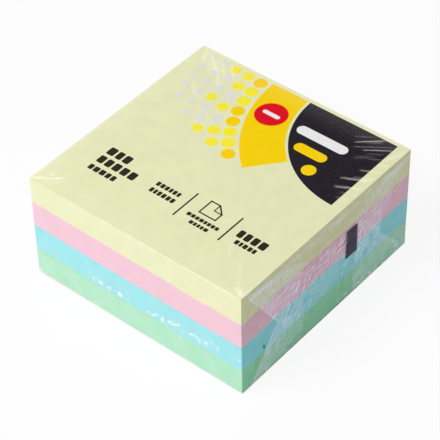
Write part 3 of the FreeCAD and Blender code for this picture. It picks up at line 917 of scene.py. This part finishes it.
NOTE_COLOURS = {
    "yellow": (0.825, 0.825, 0.515),
    "pink": (0.89, 0.58, 0.68),
    "blue": (0.305, 0.78, 0.83),
    "green": (0.343, 0.772, 0.503),
}
INKS = {
    "print_charcoal": (0.015, 0.011, 0.018),
    "print_amber": (1.0, 0.665, 0.001),
    "print_lemon": (0.98, 0.86, 0.04),
    "print_pale": (0.78, 0.78, 0.71),
    "print_red": (0.76, 0.002, 0.014),
    "print_white": (0.87, 0.87, 0.86),
}


def build_pads():
    for i, (name, colour) in enumerate(NOTE_COLOURS.items()):
        low, high = node_box(f"{name}_notes")
        notes = pad(f"{name}_pad", len(NOTE_COLOURS) - 1 - i, low, high, 100 + i)
        dress(notes, paper_material(f"{name}_paper", colour))
        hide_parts(f"{name}_notes")
    dress_node("backing_liner", paper_material("liner_paper", (0.84, 0.84, 0.81)))


def build_print():
    for node, colour in INKS.items():
        dress_node(node, ink_material(node.replace("print", "ink"), colour))
    text = text_row()
    dress(text, ink_material("ink_text", (0.024, 0.020, 0.010)))
    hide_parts("print_text")
    mark = eye_mark()
    dress(mark, ink_material("ink_eye_mark", (0.030, 0.021, 0.050)))
    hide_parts("eye_mark")


def build_film():
    smooth_film = film_material("clear_film", (0.97, 0.97, 0.94))
    # The sealed ends' veil is bluish: painted reflection of bluish surroundings
    sealed_film = film_material("sealed_film", (0.82, 0.88, 1.0))
    for thing, film in ((film_sleeve(), smooth_film), (film_end("film_end_right", 1), sealed_film),
                        (film_end("film_end_left", -1), sealed_film)):
        dress(thing, film)
        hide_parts("film_wrap")


# Floor, light and camera


def shown_rays(tree):
    """1 for rays that come straight from the camera or through gloss and glass, 0 for the rest."""
    path = tree.nodes.new("ShaderNodeLightPath").outputs
    seen = maths(tree, "MAXIMUM", path["Is Camera Ray"], path["Is Glossy Ray"])
    return maths(tree, "MAXIMUM", seen, path["Is Transmission Ray"])


FLOOR_GAP = 0.02              # keeps the floor off the film's underside, so the two never share a plane
FLOOR_REACH = 3000.0
FLOOR_LIGHT = 0.40            # the floor's share of plain white as a light on the part, and as it is seen
FLOOR_SEEN = 0.90


def build_floor():
    """Pale floor that looks white to the camera and keeps part of the block's shadow."""
    corners = ((-FLOOR_REACH, -FLOOR_REACH), (FLOOR_REACH, -FLOOR_REACH),
               (FLOOR_REACH, FLOOR_REACH), (-FLOOR_REACH, FLOOR_REACH))
    mesh = bpy.data.meshes.new("floor")
    mesh.from_pydata([(x * MM, y * MM, -FLOOR_GAP * MM) for x, y in corners], [], [(0, 1, 2, 3)])
    floor = bpy.data.objects.new("floor", mesh)
    bpy.context.scene.collection.objects.link(floor)
    material, tree, shader = new_material("floor", (0.85, 0.85, 0.85), 0.9)
    white = tree.nodes.new("ShaderNodeEmission")
    white.inputs["Color"].default_value = (1, 1, 1, 1)
    white.inputs["Strength"].default_value = 1.0
    share = map_range(tree, shown_rays(tree), FLOOR_LIGHT, FLOOR_SEEN)
    mixed_surface(tree, share, shader.outputs["BSDF"], white.outputs["Emission"])
    mesh.materials.append(material)
    floor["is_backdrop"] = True


WORLD_LIGHT = 0.30            # the surroundings' strength as a light on the part, and as they are seen
WORLD_SEEN = 1.0


def build_world():
    """White surroundings, dimmer as a light on the part than as they are seen."""
    world = bpy.data.worlds.new("studio")
    bpy.context.scene.world = world
    world.use_nodes = True
    tree = world.node_tree
    back = tree.nodes["Background"]
    back.inputs["Color"].default_value = (1, 1, 1, 1)
    link(tree, map_range(tree, shown_rays(tree), WORLD_LIGHT, WORLD_SEEN), back.inputs["Strength"])


# The one lamp, in metres and watts
LAMP_PLACE = (-0.32, -0.62, 0.95)
LAMP_AIM = (0, 0, 0.02)
LAMP_SIZE = 0.55
LAMP_POWER = 11.4


def build_light():
    """Square soft light that faces the block."""
    lamp = bpy.data.lights.new("key", "AREA")
    lamp.shape = "SQUARE"
    lamp.size = LAMP_SIZE
    lamp.energy = LAMP_POWER
    thing = bpy.data.objects.new("key", lamp)
    thing.location = LAMP_PLACE
    thing.rotation_euler = (Vector(LAMP_AIM) - Vector(LAMP_PLACE)).to_track_quat("-Z", "Y").to_euler()
    bpy.context.scene.collection.objects.link(thing)


# Camera, solved from the block's corners in the picture
CAMERA_AZIMUTH = 40.34
CAMERA_ELEVATION = 43.31
CAMERA_ROLL = -1.222
CAMERA_DISTANCE = 0.56217
CAMERA_AIM = (-0.000677, -0.003706)       # of the point it looks at, to the right and up, in metres
CAMERA_HEIGHT = 0.020
FOCAL_PIXELS = 1967.3
FRAME_PIXELS = 440
SENSOR = 36.0


def build_camera():
    a, e, r = (math.radians(d) for d in (CAMERA_AZIMUTH, CAMERA_ELEVATION, CAMERA_ROLL))
    back = Vector((math.sin(a) * math.cos(e), -math.cos(a) * math.cos(e), math.sin(e)))
    right = Vector((math.cos(a), math.sin(a), 0))
    up = back.cross(right)
    target = right * CAMERA_AIM[0] + up * CAMERA_AIM[1] + Vector((0, 0, CAMERA_HEIGHT))
    turned_right = right * math.cos(r) + up * math.sin(r)
    turned_up = up * math.cos(r) - right * math.sin(r)
    lens = bpy.data.cameras.new("camera")
    lens.sensor_width = SENSOR
    lens.lens = FOCAL_PIXELS / FRAME_PIXELS * SENSOR
    lens.clip_start = 0.01
    lens.clip_end = 20.0
    camera = bpy.data.objects.new("camera", lens)
    axes = Matrix((turned_right, turned_up, back)).transposed().to_4x4()
    camera.matrix_world = Matrix.Translation(target + back * CAMERA_DISTANCE) @ axes
    bpy.context.scene.collection.objects.link(camera)
    bpy.context.scene.camera = camera


bpy.context.scene.view_settings.view_transform = "Standard"
build_pads()
build_print()
build_film()
build_floor()
build_world()
build_light()
build_camera()

for label, (low, high) in (("cad", cad_box), ("visual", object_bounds())):
    json.dumps({label: [list(low), list(high)]}) + "\n"
